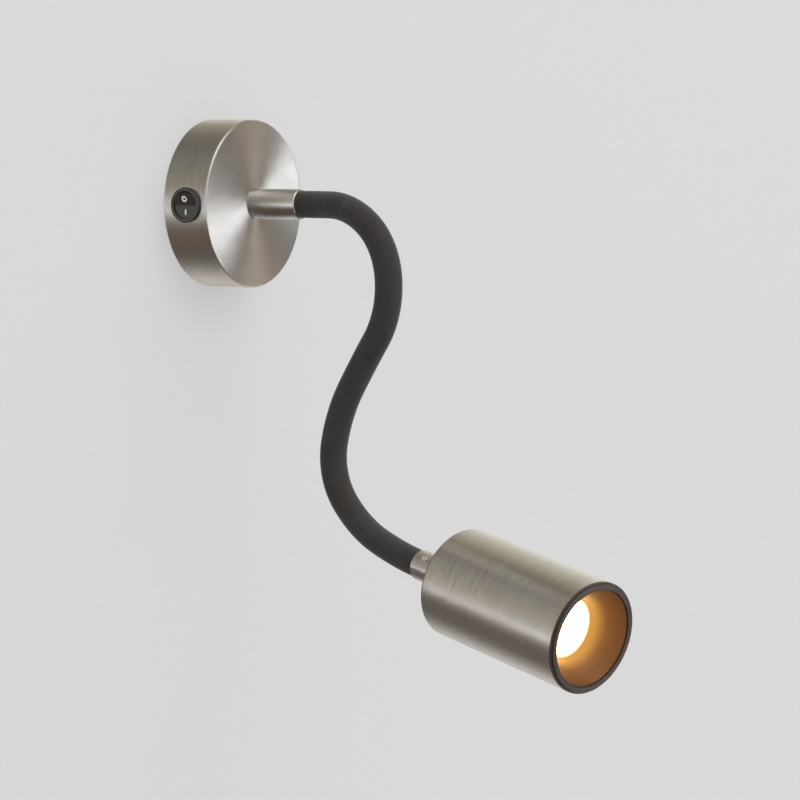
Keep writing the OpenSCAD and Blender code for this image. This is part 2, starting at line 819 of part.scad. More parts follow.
// The bracket is clamped under the head's nut and carries the lampholder on two legs
bracket_w = 14;
leg_x = holder_r - 2 * sheet_t;
bracket_base_z = back_in + washer_t;
foot_len = 5.5;
holder_screw_x = leg_x - foot_len / 2 - sheet_t / 2;
module holder_bracket() {
    color("lightgray") at_head() difference() {
        union() {
            translate([-leg_x, -bracket_w / 2, bracket_base_z]) cube([2 * leg_x, bracket_w, sheet_t]);
            for (side = [-1, 1]) {
                translate([side * leg_x - (side > 0 ? sheet_t : 0), -bracket_w / 2, bracket_base_z])
                    cube([sheet_t, bracket_w, holder_back_z - bracket_base_z]);
                translate([side * (leg_x - foot_len / 2) - foot_len / 2, -bracket_w / 2, holder_back_z - sheet_t])
                    cube([foot_len, bracket_w, sheet_t]);
            }
        }
        translate([0, 0, bracket_base_z - cut]) cylinder(r = thread_r + fit_gap, h = sheet_t + 2 * cut);
        for (side = [-1, 1])
            translate([side * holder_screw_x, 0, holder_back_z - sheet_t - cut])
                cylinder(r = small_r + thread_gap, h = sheet_t + 2 * cut);
    }
}

holder_screw_in = 0.4 * holder_t;
module holder_screws() {
    head_h = 0.5 * small_screw_d;
    color("dimgray") at_head() for (side = [-1, 1])
        translate([side * holder_screw_x, 0, holder_back_z - sheet_t - head_h]) difference() {
            union() {
                cylinder(r = 0.7 * small_screw_d, h = head_h);
                cylinder(r = small_r, h = head_h + sheet_t + holder_screw_in);
            }
            translate([-small_screw_d, -0.15 * small_screw_d, -cut])
                cube([2 * small_screw_d, 0.3 * small_screw_d, cut + 0.5 * head_h]);
        }
}

// Front plate of the lampholder with its two keyholes, and the room behind it for the pin heads
holder_plate_t = 2.6;
pin_room = 3.4;
module lampholder() {
    plate_z = holder_front_z - holder_plate_t;
    color("white") at_head() difference() {
        translate([0, 0, holder_back_z]) cylinder(r = holder_r, h = holder_t);
        translate([0, 0, plate_z - pin_room]) difference() {
            cylinder(r = pin_ring_r + pin_head_r + seat_gap, h = pin_room);
            translate([0, 0, -cut]) cylinder(r = pin_ring_r - pin_head_r - seat_gap, h = pin_room + 2 * cut);
        }
        for (side = [0, 180]) rotate([0, 0, side]) {
            translate([pin_ring_r, 0, plate_z - cut])
                cylinder(r = pin_neck_r + fit_gap, h = holder_plate_t + 2 * cut);
            rotate([0, 0, -lamp_turn]) translate([pin_ring_r, 0, plate_z - cut])
                cylinder(r = pin_head_r + fit_gap, h = holder_plate_t + 2 * cut);
            translate([0, 0, plate_z - cut]) rotate([0, 0, -lamp_turn])
                rotate_extrude(angle = lamp_turn)
                    translate([pin_ring_r - pin_neck_r - fit_gap, 0])
                        square([pin_neck_d + 2 * fit_gap, holder_plate_t + 2 * cut]);
            rotate([0, 0, 90]) translate([pin_ring_r, 0, holder_back_z - cut])
                cylinder(r = wire_r + fit_gap, h = 2 * wire_r + cut);
            translate([holder_screw_x, 0, holder_back_z - cut])
                cylinder(r = small_r + thread_gap, h = holder_screw_in + cut + seat_gap);
        }
    }
}

contact_t = 0.8;
module holder_contacts() {
    contact_z = holder_front_z - holder_plate_t - pin_room;
    color("goldenrod") at_head() for (side = [0, 180]) rotate([0, 0, side])
        translate([0, 0, contact_z])
            rotate([0, 0, -1.5 * lamp_turn]) rotate_extrude(angle = 2.5 * lamp_turn)
                translate([pin_ring_r - pin_head_r, 0]) square([pin_head_d, contact_t]);
}

module head_wires() {
    start_z = cable_inside + seat_gap / 3;
    // Each of the two wires swings out to its hole in two equal bends
    run = holder_back_z - start_z;
    swing = 2 * atan((pin_ring_r - wire_spread / 2) / run);
    length = run / (2 * sin(swing)) * to_rad(swing);
    hairline_share = bend_gap / length;
    for (side = [-1, 1]) color(side < 0 ? "saddlebrown" : "steelblue") at_head() {
        rotate([0, -90, 0]) {
            bend_piece(
                [start_z, side * wire_spread / 2], 0, -side * swing, length, 0, 1 - hairline_share,
                wire_r, 0
            );
            bend_piece(
                [start_z + run / 2, side * (pin_ring_r + wire_spread / 2) / 2], side * swing,
                side * swing, length, 0, 1 - hairline_share, wire_r, 0
            );
        }
        translate([0, side * pin_ring_r, holder_back_z]) cylinder(r = wire_r, h = 1.5 * wire_r);
    }
    color("yellowgreen") at_head() wire([
        [wire_spread / 2, 0, start_z + wire_r],
        [leg_x - sheet_t - seat_gap, 0, start_z + wire_r]
    ]);
}

lamp_neck_r = 0.72 * lamp_r;
lamp_skirt = 0.26 * lamp_len;
lamp_rim = 0.3 * lamp_len;
lamp_wall = 1.5;
fin_count = 18;
// Angle of the groove between two fins, and where the grooves start and end along the cone
groove_angle = 8;
groove_shares = [0.15, 0.95];
function lamp_cone(share) = [
    lamp_neck_r + share * (lamp_r - lamp_neck_r),
    lamp_skirt + share * (lamp_len - lamp_rim - lamp_skirt)
];
lens_r = lamp_r - lamp_wall;
lens_t = 2;
board_t = 1.2;
board_z = lamp_face_z - lamp_rim;

module lamp_body() {
    color("whitesmoke") at_head() translate([0, 0, lamp_base_z]) difference() {
        rotate_extrude() polygon([
            [0, 0],
            [lamp_neck_r, 0],
            [lamp_neck_r, lamp_skirt],
            [lamp_r, lamp_len - lamp_rim],
            [lamp_r, lamp_len],
            [lens_r + fit_gap, lamp_len],
            [lens_r + fit_gap, lamp_len - lens_t - fit_gap],
            [lens_r - lamp_wall, lamp_len - lens_t - fit_gap],
            [lens_r - lamp_wall, lamp_len - lamp_rim - fit_gap],
            [0, lamp_len - lamp_rim - fit_gap]
        ]);
        for (k = [0:fin_count - 1]) rotate([0, 0, k * 360 / fin_count])
            rotate_extrude(angle = groove_angle) polygon([
                lamp_cone(groove_shares[0]) - [lamp_wall, 0],
                [lamp_r + cut, lamp_cone(groove_shares[0]).y],
                [lamp_r + cut, lamp_cone(groove_shares[1]).y],
                lamp_cone(groove_shares[1]) - [lamp_wall, 0]
            ]);
        for (side = [-1, 1]) translate([side * pin_ring_r, 0, -cut])
            cylinder(r = pin_neck_r + thread_gap, h = 2 * pin_neck_d + cut + thread_gap);
    }
}

module lamp_pins() {
    head_h = pin_room - contact_t - 2 * seat_gap;
    neck_h = seat_gap + holder_plate_t + seat_gap + 2 * pin_neck_d;
    color("silver") at_head() for (side = [-1, 1])
        translate([side * pin_ring_r, 0, lamp_base_z + 2 * pin_neck_d - neck_h]) {
            cylinder(r = pin_neck_r, h = neck_h);
            translate([0, 0, -head_h]) cylinder(r = pin_head_r, h = head_h);
        }
}

led_count = 6;
module led_board() {
    color("white") at_head() translate([0, 0, board_z]) {
        cylinder(r = lens_r - 1.2 * lamp_wall, h = board_t);
        for (k = [0:led_count - 1]) rotate([0, 0, k * 360 / led_count])
            translate([0.5 * lens_r, 0, board_t - thread_gap])
                translate([-1.2 * board_t, -1.2 * board_t, 0]) cube([2.4 * board_t, 2.4 * board_t, board_t]);
    }
}

module lamp_lens() {
    color("lightyellow") at_head() translate([0, 0, lamp_face_z - lens_t]) cylinder(r = lens_r, h = lens_t);
}

ring_bore_r = ring_bore / 2;
baffle_r = ring_bore_r - fit_gap;
baffle_t = 0.8;
baffle_front_z = face_z - ring_step;
baffle_back_z = lamp_face_z + seat_gap;
baffle_bore_r = baffle_bore / 2;
// A short cylinder at each end of the cone, which seats it in the ring and over the lamp
baffle_band = 1.5;

module baffle() {
    color("#4a3a30") at_head() rotate_extrude() polygon([
        [baffle_r - baffle_t, baffle_front_z],
        [baffle_r, baffle_front_z],
        [baffle_r, baffle_front_z - baffle_band],
        [baffle_bore_r + baffle_t, baffle_back_z],
        [baffle_bore_r, baffle_back_z]
    ]);
}

module front_ring() {
    step_r = head_r - 1.1 * ring_edge;
    bevel = 0.4 * ring_step;
    color("#3a3634") at_head() rotate_extrude() polygon([
        [ring_bore_r, ring_z - ring_reach],
        [head_bore_r - fit_gap, ring_z - ring_reach],
        [head_bore_r - fit_gap, ring_z],
        [head_r, ring_z],
        [head_r, ring_z + ring_edge],
        [step_r, ring_z + ring_edge],
        [step_r, face_z - bevel],
        [step_r - bevel, face_z],
        [ring_bore_r, face_z]
    ]);
}

canopy_cup();
mounting_plate();
canopy_screws();
switch_housing();
switch_rocker();
rocker_marks();
switch_plunger();
switch_spring();
switch_blade();
switch_terminals();
terminal_block();
terminal_screws();
earth_screw();
live_wires();
neutral_wire();
earth_wire();
wall_end_fitting();
wall_nut();
wall_washer();
wall_sleeve();
wall_sleeve_screw();
color("gray") core_length(0);  // neck_core_0
color("gray") core_length(1);  // neck_core_1
color("gray") core_length(2);  // neck_core_2
color("gray") core_length(3);  // neck_core_3
color("gray") core_length(4);  // neck_core_4
color("gray") core_length(5);  // neck_core_5
color("gray") core_length(6);  // neck_core_6
color("#3a3634") woven_length(1);  // neck_sleeve_1
color("#3a3634") woven_length(2);  // neck_sleeve_2
color("#3a3634") woven_length(3);  // neck_sleeve_3
color("#3a3634") woven_length(4);  // neck_sleeve_4
color("#3a3634") woven_length(5);  // neck_sleeve_5
color("#3a3634") woven_length(6);  // neck_sleeve_6
color("white") cable_length(1);  // neck_cable_1
color("white") cable_length(2);  // neck_cable_2
color("white") cable_length(3);  // neck_cable_3
color("white") cable_length(4);  // neck_cable_4
color("white") cable_length(5);  // neck_cable_5
color("white") cable_length(6);  // neck_cable_6
head_end_fitting();
head_nut();
head_washer();
head_sleeve();
head_sleeve_screw();
head_housing();
holder_bracket();
holder_screws();
lampholder();
holder_contacts();
head_wires();
lamp_body();
lamp_pins();
led_board();
lamp_lens();
baffle();
front_ring();
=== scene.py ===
# %% [markdown]
# # Bedside wall reading lamp
#
# A round nickel canopy sits on the wall, with a rocker switch in its rim. A bendable neck in a
# woven charcoal sleeve carries a turned nickel head, and a lamp glows inside a dark cone.
# The imported CAD model is loaded first. Each of its nodes keeps its place, and this lesson adds
# what CAD leaves out: the braid of the cloth, a cable inside the neck, the finishes, the light
# and the camera.

# %% Load the frame
import json
import math

import bpy
from mathutils import Matrix, Vector


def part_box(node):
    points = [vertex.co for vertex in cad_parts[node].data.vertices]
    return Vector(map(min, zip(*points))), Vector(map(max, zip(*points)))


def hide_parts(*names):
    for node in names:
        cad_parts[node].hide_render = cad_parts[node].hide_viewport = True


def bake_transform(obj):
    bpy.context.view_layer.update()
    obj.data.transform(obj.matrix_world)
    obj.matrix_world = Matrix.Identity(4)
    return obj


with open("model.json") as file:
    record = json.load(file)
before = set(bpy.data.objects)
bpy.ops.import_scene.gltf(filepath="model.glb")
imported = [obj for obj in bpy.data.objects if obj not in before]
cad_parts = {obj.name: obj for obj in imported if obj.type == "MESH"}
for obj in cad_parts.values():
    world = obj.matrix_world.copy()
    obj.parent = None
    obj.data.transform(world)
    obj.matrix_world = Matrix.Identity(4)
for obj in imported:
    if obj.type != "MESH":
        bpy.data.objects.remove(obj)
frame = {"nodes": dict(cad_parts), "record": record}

scene = bpy.context.scene
nodes = frame["nodes"]
record = frame["record"]
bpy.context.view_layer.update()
MM = 0.001

# %% [markdown]
# ## The camera
#
# The photograph was taken with a long lens, from the left and a little above the lamp. Such a
# camera is described by two angles and a distance, as a person walking round the lamp would
# do it. Its three axes are built from the angles, and two small steps set the framing. These
# numbers were fitted to the edges of the round pieces and the neck in the photograph.

# %% Camera
AZIMUTH, ELEVATION = math.radians(-58.54), math.radians(5.66)
DISTANCE, STEP_RIGHT, STEP_DOWN = 1252.5, 89.6, 94.9
SENSOR_WIDTH, FOCAL_LENGTH = 36, 117
back = Vector((
    math.sin(AZIMUTH) * math.cos(ELEVATION),
    -math.cos(AZIMUTH) * math.cos(ELEVATION),
    math.sin(ELEVATION),
))
right = Vector((math.cos(AZIMUTH), math.sin(AZIMUTH), 0))
up = back.cross(right)
camera_place = DISTANCE * back + STEP_RIGHT * right - STEP_DOWN * up
bpy.ops.object.camera_add()
camera = bpy.context.object
camera.name = "photo_camera"
camera.data.sensor_width = SENSOR_WIDTH
camera.data.lens = FOCAL_LENGTH
camera.matrix_world = (
    Matrix.Translation(camera_place * MM)
    @ Matrix((right, up, back)).transposed().to_4x4()
)
scene.camera = camera
print("Camera stands at", [round(value, 3) for value in camera.matrix_world.translation])

# %% [markdown]
# ## A small language for finishes
#
# A finish is a chain of shader nodes. Wiring them by hand hides the maths, so one class wraps a
# socket and gives it plus, minus, times and power.


# %% Socket wrapper
class Wire:
    """One output of a node, so that shader maths reads like ordinary maths."""

    def __init__(self, tree, socket):
        self.tree, self.socket = tree, socket

    def maths(self, operation, *values):
        return self.tree.node("Math", {"operation": operation}, dict(enumerate(values)))

    def __add__(self, other):
        return self.maths("ADD", self, other)

    def __sub__(self, other):
        return self.maths("SUBTRACT", self, other)

    def __rsub__(self, other):
        return self.maths("SUBTRACT", other, self)

    def __mul__(self, other):
        return self.maths("MULTIPLY", self, other)

    def __pow__(self, other):
        return self.maths("POWER", self, other)

    def __rpow__(self, other):
        return self.maths("POWER", other, self)

    __radd__, __rmul__ = __add__, __mul__


# %% [markdown]
# ## A tree of nodes
#
# The second class fills a node tree. Its first method makes any node, from its type, its
# settings, and the values or links of its sockets. The short ones below it are names for the
# nodes that this lamp uses most.


# %% Tree wrapper
class Tree:
    """A node tree that is filled by short calls."""

    def __init__(self, owner):
        owner.use_nodes = True
        self.tree = owner.node_tree
        self.tree.nodes.clear()

    def node(self, kind, settings=None, values=None, out=0):
        made = self.tree.nodes.new("ShaderNode" + kind)
        for name, value in (settings or {}).items():
            setattr(made, name, value)
        for key, value in (values or {}).items():
            socket = made.inputs[key]
            if isinstance(value, Wire):
                self.tree.links.new(value.socket, socket)
            elif socket.type == "RGBA" and len(value) == 3:
                socket.default_value = (*value, 1)
            else:
                socket.default_value = value
        return Wire(self, made.outputs[out]) if made.outputs else None

    def vector(self, operation, first, second=None, out="Vector"):
        values = {0: first} if second is None else {0: first, 1: second}
        return self.node("VectorMath", {"operation": operation}, values, out)

    def scaled(self, vector, factor):
        return self.node("VectorMath", {"operation": "SCALE"}, {0: vector, "Scale": factor})

    def join(self, x, y, z):
        return self.node("CombineXYZ", None, {0: x, 1: y, 2: z})

    def place(self):
        """Where a point lies on the lamp, in millimetres."""
        return self.scaled(self.node("TexCoord", out="Object"), 1 / MM)

    def noise(self, place, scale, detail=2.0, roughness=0.5):
        return self.node("TexNoise", None, {
            "Vector": place, "Scale": scale, "Detail": detail, "Roughness": roughness,
        })

    def ramp(self, factor, low, high):
        """0 below low, 1 above high, and smooth between."""
        return self.node("MapRange", {"interpolation_type": "SMOOTHSTEP"}, {
            "Value": factor, "From Min": low, "From Max": high,
        })

    def drifting(self, noise, middle, spread):
        """A number that follows a noise, over a spread round its middle."""
        return noise * spread + (middle - spread / 2)

    def blend(self, factor, first, second):
        """A colour between two. A Mix node takes them at 6 and 7 and gives it at 2."""
        return self.node("Mix", {"data_type": "RGBA"}, {0: factor, 6: first, 7: second}, 2)

    def two_tone(self, noise, color, drift):
        """A colour that a noise makes darker and lighter, by drift as a share of it."""
        dark = [value * (1 - drift) for value in color]
        light = [value * (1 + drift) for value in color]
        return self.blend(self.ramp(noise, 0.3, 0.7), dark, light)

    def bump(self, height, strength, distance):
        """A normal that follows a height, with the distance in millimetres."""
        return self.node("Bump", None, {
            "Strength": strength, "Distance": distance * MM, "Height": height,
        })


def finish(name, paint):
    """A material whose Principled sockets come from paint(tree)."""
    material = bpy.data.materials.new(name)
    tree = Tree(material)
    surface = tree.node("BsdfPrincipled", None, paint(tree))
    tree.node("OutputMaterial", None, {"Surface": surface})
    return material


# %% [markdown]
# ## Turned nickel
#
# The canopy, the head and the two sleeves are spun or turned on a lathe. The tool leaves fine
# rings, and each ring tips the surface a little across the ring. That tip is what draws the
# bright fans on the canopy's face and the long bands on the head. A picture of scratches would
# stay flat, so the tip goes into the normal: the finish finds the way round the axis, takes
# the direction across the rings from it, and leans the normal that way by a fine noise. A
# second noise, which changes little on its way round, makes some rings darker than others.


# %% Leaning normal
RING_WIDTH = 0.6
CHANGE_ROUND = 1.6
CHANGE_WAY = (0.6, 0.3, 0.7)
CUT_LOW, CUT_HIGH = 0.38, 0.62


def round_axis(tree, axis, place):
    """How far a place lies along an axis, the arm from the axis to it, and that arm's length."""
    along = tree.vector("DOT_PRODUCT", place, axis, out="Value")
    arm = tree.vector("SUBTRACT", place, tree.scaled(axis, along))
    return along, arm, tree.vector("LENGTH", arm, out="Value")


def lean(tree, axis, centre, pitch, depth):
    """The leaning normal, the rings, and the place and radius from a centre, all in mm."""
    place = tree.vector("SUBTRACT", tree.place(), centre)
    along, arm, radius = round_axis(tree, axis, place)
    outward = tree.vector("NORMALIZE", arm)
    change = tree.vector("DOT_PRODUCT", outward, CHANGE_WAY, out="Value") * CHANGE_ROUND
    ring_place = tree.join(radius * (1 / RING_WIDTH), along * (1 / RING_WIDTH), change)
    rings = tree.noise(ring_place, 1.0, roughness=0.6)
    grain = tree.noise(tree.scaled(place, 1 / pitch), 1.0, roughness=0.7)
    cut = tree.ramp(grain, CUT_LOW, CUT_HIGH) - 0.5
    normal = tree.node("NewGeometry", out="Normal")
    round_way = tree.vector("CROSS_PRODUCT", axis, outward)
    world_way = tree.node("VectorTransform", {
        "vector_type": "VECTOR", "convert_from": "OBJECT", "convert_to": "WORLD",
    }, {0: round_way})
    across = tree.vector("CROSS_PRODUCT", world_way, normal)
    tipped = tree.vector("ADD", normal, tree.scaled(across, cut * depth))
    return tree.vector("NORMALIZE", tipped), rings, place, radius


# %% Turned metal
GRAIN_PITCH = 0.04
SMEARS_PER_MM = 0.045


def turned_metal(name, axis, centre, color, depth=0.8, rough=0.24, metallic=1.0):
    """Turned metal round an axis through a centre, both in the lamp's frame, centre in mm."""

    def paint(tree):
        normal, rings, place, _ = lean(tree, axis, centre, GRAIN_PITCH, depth)
        smears = tree.noise(place, SMEARS_PER_MM, detail=3.0, roughness=0.6)
        return {
            "Base Color": tree.two_tone(rings, color, drift=0.05),
            "Metallic": metallic,
            "Roughness": tree.drifting(smears, rough, spread=0.12),
            "Normal": normal,
        }

    return finish(name, paint)


joints = {joint["name"]: joint for joint in record["behaviour"]["joints"]}
head_axis = Vector(joints["ring_pull"]["axis"]).normalized()
head_centre = Vector(joints["lamp_twist"]["pos_m"]) / MM
print("Head axis", [round(value, 4) for value in head_axis])

# %% [markdown]
# ## Plastics and small metals
#
# Most other finishes follow one idea: a colour that drifts a little, a roughness that drifts
# more, and a bump at the scale of the real thing, such as the grain of moulded plastic.


# %% Drifting finish
PATCHES_PER_MM = 0.12
GRAINS_PER_MM = 2.5
GRAIN_HEIGHT = 0.02


def plain_finish(name, color, rough, metallic, coat):
    """A finish whose colour and gloss drift, with a fine grain on its surface."""

    def paint(tree):
        place = tree.place()
        patches = tree.noise(place, PATCHES_PER_MM, detail=3.0, roughness=0.6)
        grains = tree.noise(place, GRAINS_PER_MM, roughness=0.6)
        return {
            "Base Color": tree.two_tone(patches, color, drift=0.15),
            "Metallic": metallic,
            "Roughness": tree.drifting(patches, rough, spread=0.2),
            "Coat Weight": coat,
            "Normal": tree.bump(grains, 0.5, GRAIN_HEIGHT),
        }

    return finish(name, paint)


# %% [markdown]
# ## One finish for each slot
#
# The CAD record gives every node a slot, which is the name of what it is made of. A turned
# finish needs the axis that its piece was turned round: the canopy's points out of the wall,
# and the head's is the way its front ring pulls off. Each plain finish is one row with its
# colour, its roughness, how metallic it is, and how much clear coat lies on it.

# %% Finishes by slot
WALL_AXIS, WALL_CENTRE = (0, -1, 0), (0, 0, 0)
NICKEL = (0.60, 0.575, 0.54)
SATIN_NICKEL = (0.55, 0.54, 0.52)
RING_BLACK = (0.075, 0.060, 0.055)
finishes = {
    "spun_nickel": turned_metal("spun_nickel", WALL_AXIS, WALL_CENTRE, NICKEL),
    "satin_nickel": turned_metal(
        "satin_nickel", WALL_AXIS, WALL_CENTRE, SATIN_NICKEL, depth=0.5,
    ),
    "nickel_aluminium": turned_metal(
        "nickel_aluminium", head_axis, head_centre, NICKEL, depth=0.5,
    ),
    "ring_dark": turned_metal(
        "ring_dark", head_axis, head_centre, RING_BLACK, depth=0.4, rough=0.42, metallic=0.5,
    ),
}
for name, color, rough, metallic, coat in (
    ("zinc_steel", (0.55, 0.56, 0.56), 0.38, 1.0, 0.0),
    ("black_steel", (0.62, 0.61, 0.59), 0.25, 1.0, 0.0),
    ("black_plastic", (0.027, 0.024, 0.022), 0.42, 0.0, 0.1),
    ("white_mark", (0.75, 0.75, 0.73), 0.5, 0.0, 0.0),
    ("brass", (0.76, 0.58, 0.27), 0.3, 1.0, 0.0),
    ("block_plastic", (0.72, 0.70, 0.62), 0.5, 0.0, 0.0),
    ("live_plastic", (0.19, 0.08, 0.04), 0.45, 0.0, 0.0),
    ("neutral_plastic", (0.04, 0.16, 0.42), 0.45, 0.0, 0.0),
    ("earth_plastic", (0.30, 0.42, 0.06), 0.45, 0.0, 0.0),
    ("core_steel", (0.38, 0.38, 0.38), 0.35, 1.0, 0.0),
    ("cable_rubber", (0.03, 0.03, 0.03), 0.6, 0.0, 0.0),
    ("ceramic", (0.78, 0.76, 0.70), 0.3, 0.0, 0.4),
    ("lamp_white", (0.70, 0.70, 0.68), 0.4, 0.0, 0.0),
    ("pin_metal", (0.66, 0.64, 0.60), 0.3, 1.0, 0.0),
):
    finishes[name] = plain_finish(name, color, rough, metallic, coat)
print("Finishes so far:", len(finishes))

# %% [markdown]
# ## The lit lens
#
# The lamp's face is far brighter than anything else, so the photograph shows it as a white
# disc with a warm edge. The emission is warm and so strong that the middle comes out white,
# and close to its edge it falls off to a dim orange.

# %% Lit lens
LENS_SEEN_R = 13.5
LENS_FULL_R = 0.72 * LENS_SEEN_R
LENS_LIGHT, LENS_EDGE = (1.0, 0.68, 0.34), (0.06, 0.026, 0.006)
LENS_POWER = 14.0
lens_low, lens_high = (Vector(corner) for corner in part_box("lamp_lens"))
lens_middle = (lens_low + lens_high) / 2 / MM


def paint_lens(tree):
    offset = tree.vector("SUBTRACT", tree.place(), lens_middle)
    _, _, radius = round_axis(tree, head_axis, offset)
    edge = tree.ramp(radius, LENS_FULL_R, LENS_SEEN_R)
    return {
        "Base Color": (0.9, 0.85, 0.75),
        "Roughness": 0.3,
        "Emission Color": tree.blend(edge, LENS_LIGHT, LENS_EDGE),
        "Emission Strength": LENS_POWER,
    }


finishes["lens_lit"] = finish("lens_lit", paint_lens)
print("Lens middle, in mm:", [round(value, 1) for value in lens_middle])

# %% [markdown]
# ## The dark cone
#
# The cone in front of the lens is dark brown and a little metallic, and the lamp lights it
# orange. A real lens also scatters light sideways, onto the first few millimetres of the cone.
# The flat lens here can't do that, so the cone glows a little by itself there.

# %% Cone
CONE_DARK, CONE_LIGHT = (0.125, 0.057, 0.018), (0.145, 0.067, 0.022)
CONE_GLOW, CONE_GLOW_WIDTH = (0.30, 0.18, 0.025), 4.0
CONE_PITCH, CONE_DEPTH = 0.2, 0.3


def paint_cone(tree):
    normal, rings, _, radius = lean(tree, head_axis, head_centre, CONE_PITCH, CONE_DEPTH)
    far = tree.ramp(radius, LENS_SEEN_R, LENS_SEEN_R + CONE_GLOW_WIDTH)
    return {
        "Base Color": tree.blend(rings, CONE_DARK, CONE_LIGHT),
        "Metallic": 0.3,
        "Roughness": tree.drifting(rings, 0.5, spread=0.1),
        "Emission Color": tree.blend(far, CONE_GLOW, (0, 0, 0)),
        "Emission Strength": 1.0,
        "Normal": normal,
    }


finishes["baffle_dark"] = finish("baffle_dark", paint_cone)

# %% [markdown]
# ## Dressing the CAD nodes
#
# Each CAD node now gets the finish of its slot. The plain sleeves of the neck are left out,
# because woven ones replace them later. The metal sleeve and the fittings at the head are like
# those at the wall, but they were turned round the head's axis.
#
# The canopy's face is a dull mirror. In the photograph it shows the room, and no smeared
# picture of the neck that stands on it. So the wall sleeve, its screw and fitting, and the
# neck's core stay out of reflections.

# %% Finishes on the CAD nodes
HEAD_SIDE = ("head_sleeve", "head_washer", "head_nut", "head_end_fitting")
NOT_REFLECTED = ("neck_core", "wall_sleeve", "wall_end_fitting")
slot_of = {part["node"]: part["material_slot"] for part in record["subparts"]}
for name, cad in nodes.items():
    if name.startswith(NOT_REFLECTED):
        cad.visible_glossy = False
    slot = slot_of[name]
    if slot == "woven_charcoal":
        continue
    if slot == "satin_nickel" and name in HEAD_SIDE:
        slot = "nickel_aluminium"
    cad.data.materials.clear()
    cad.data.materials.append(finishes[slot])
print("Not reflected:", [name for name in nodes if name.startswith(NOT_REFLECTED)])

# %% [markdown]
# ## The woven neck
#
# The neck is one piece of cloth over a bendable core. It is drawn as six tubes, one for each
# joint. Their ends meet where the neck is stiff. The middle line is a chain of arcs with the
# sizes of the CAD model: straight inside the wall sleeve, then one small bend to the side, then
# eight bends in one upright plane, whose turns were fitted to the neck's edges in the
# photograph and rounded to whole degrees. A flat grid is rolled round that line, so its UV map
# runs round and along the cloth like real thread.

# %% Middle line of the neck
CANOPY_DEPTH, WALL_SLEEVE_LEN = 24, 26.5
NECK_START = CANOPY_DEPTH + WALL_SLEEVE_LEN
SIDE_LEN, SIDE_TURN = 18.0, math.radians(16)
SIDE_RADIUS = SIDE_LEN / SIDE_TURN
BEND_LEN = 29.3
BEND_TURNS = [math.radians(turn) for turn in (37, 50, 41, -3, -22, -56, -27, -10)]
NECK_LEN = SIDE_LEN + BEND_LEN * len(BEND_TURNS)


def on_side_bend(turn):
    """Point, direction and side of the neck where it has turned to the side by so much."""
    cosine, sine = math.cos(turn), math.sin(turn)
    point = Vector((-SIDE_RADIUS * (1 - cosine), -NECK_START - SIDE_RADIUS * sine, 0))
    return point, Vector((-sine, -cosine, 0)), Vector((cosine, -sine, 0))


plane_start, out_way, side_way = on_side_bend(SIDE_TURN)


def neck_at(s):
    """Point, direction and side of the neck at s mm from the wall sleeve's mouth."""
    if s < 0:
        return Vector((0, -NECK_START - s, 0)), Vector((0, -1, 0)), Vector((1, 0, 0))
    if s < SIDE_LEN:
        return on_side_bend(s / SIDE_RADIUS)
    rest, dip, flat, high = s - SIDE_LEN, 0.0, 0.0, 0.0
    for turn in BEND_TURNS:
        share = min(rest / BEND_LEN, 1)
        curve = BEND_LEN / turn
        after = dip + turn * share
        flat += curve * (math.sin(after) - math.sin(dip))
        high += curve * (math.cos(after) - math.cos(dip))
        dip, rest = after, rest - BEND_LEN * share
        if rest <= 0:
            break
    flat, high = flat + rest * math.cos(dip), high - rest * math.sin(dip)
    way = out_way * math.cos(dip) - Vector((0, 0, math.sin(dip)))
    return plane_start + out_way * flat + Vector((0, 0, high)), way, side_way


print("Neck is", round(NECK_LEN, 1), "mm long and ends at",
      [round(value, 1) for value in neck_at(NECK_LEN)[0]])

# %% [markdown]
# ## Thread by thread
#
# The sleeve is braided: two families of threads cross at a slant, over one and under one. At
# each crossing the thread on top stands almost a tenth of a millimetre proud. That relief is
# in the mesh, and only the single fibres are left to the bump of the finish.

# %% Braid
CLOTH_R = 6.35
THREADS = 34
RELIEF = 0.09
ROUND_LEN = 2 * math.pi * CLOTH_R
FLAT_BACK = 0.7
LOW_ENDS = 0.45


def braid(across, along):
    """How far the thread on top stands proud, from 0 to 1, at a place on the unrolled cloth."""
    first, second = (across + along) * THREADS, (across - along) * THREADS
    over_first = (math.floor(first) + math.floor(second)) % 2 == 0
    width, length = (first % 1, second % 1) if over_first else (second % 1, first % 1)
    rounded = math.sin(math.pi * width) ** FLAT_BACK
    return rounded * (LOW_ENDS + (1 - LOW_ENDS) * math.sin(math.pi * length))


# %% [markdown]
# ## Rolling a tube
#
# A grid is added flat. Every row of it moves to its place on the middle line and is wrapped
# round it, and the height of the braid pushes each point outwards. Then the two long edges are
# merged, the two open ends are filled, and the faces are made to point outwards.


# %% Rolled tube
MERGE_DISTANCE = 0.00001


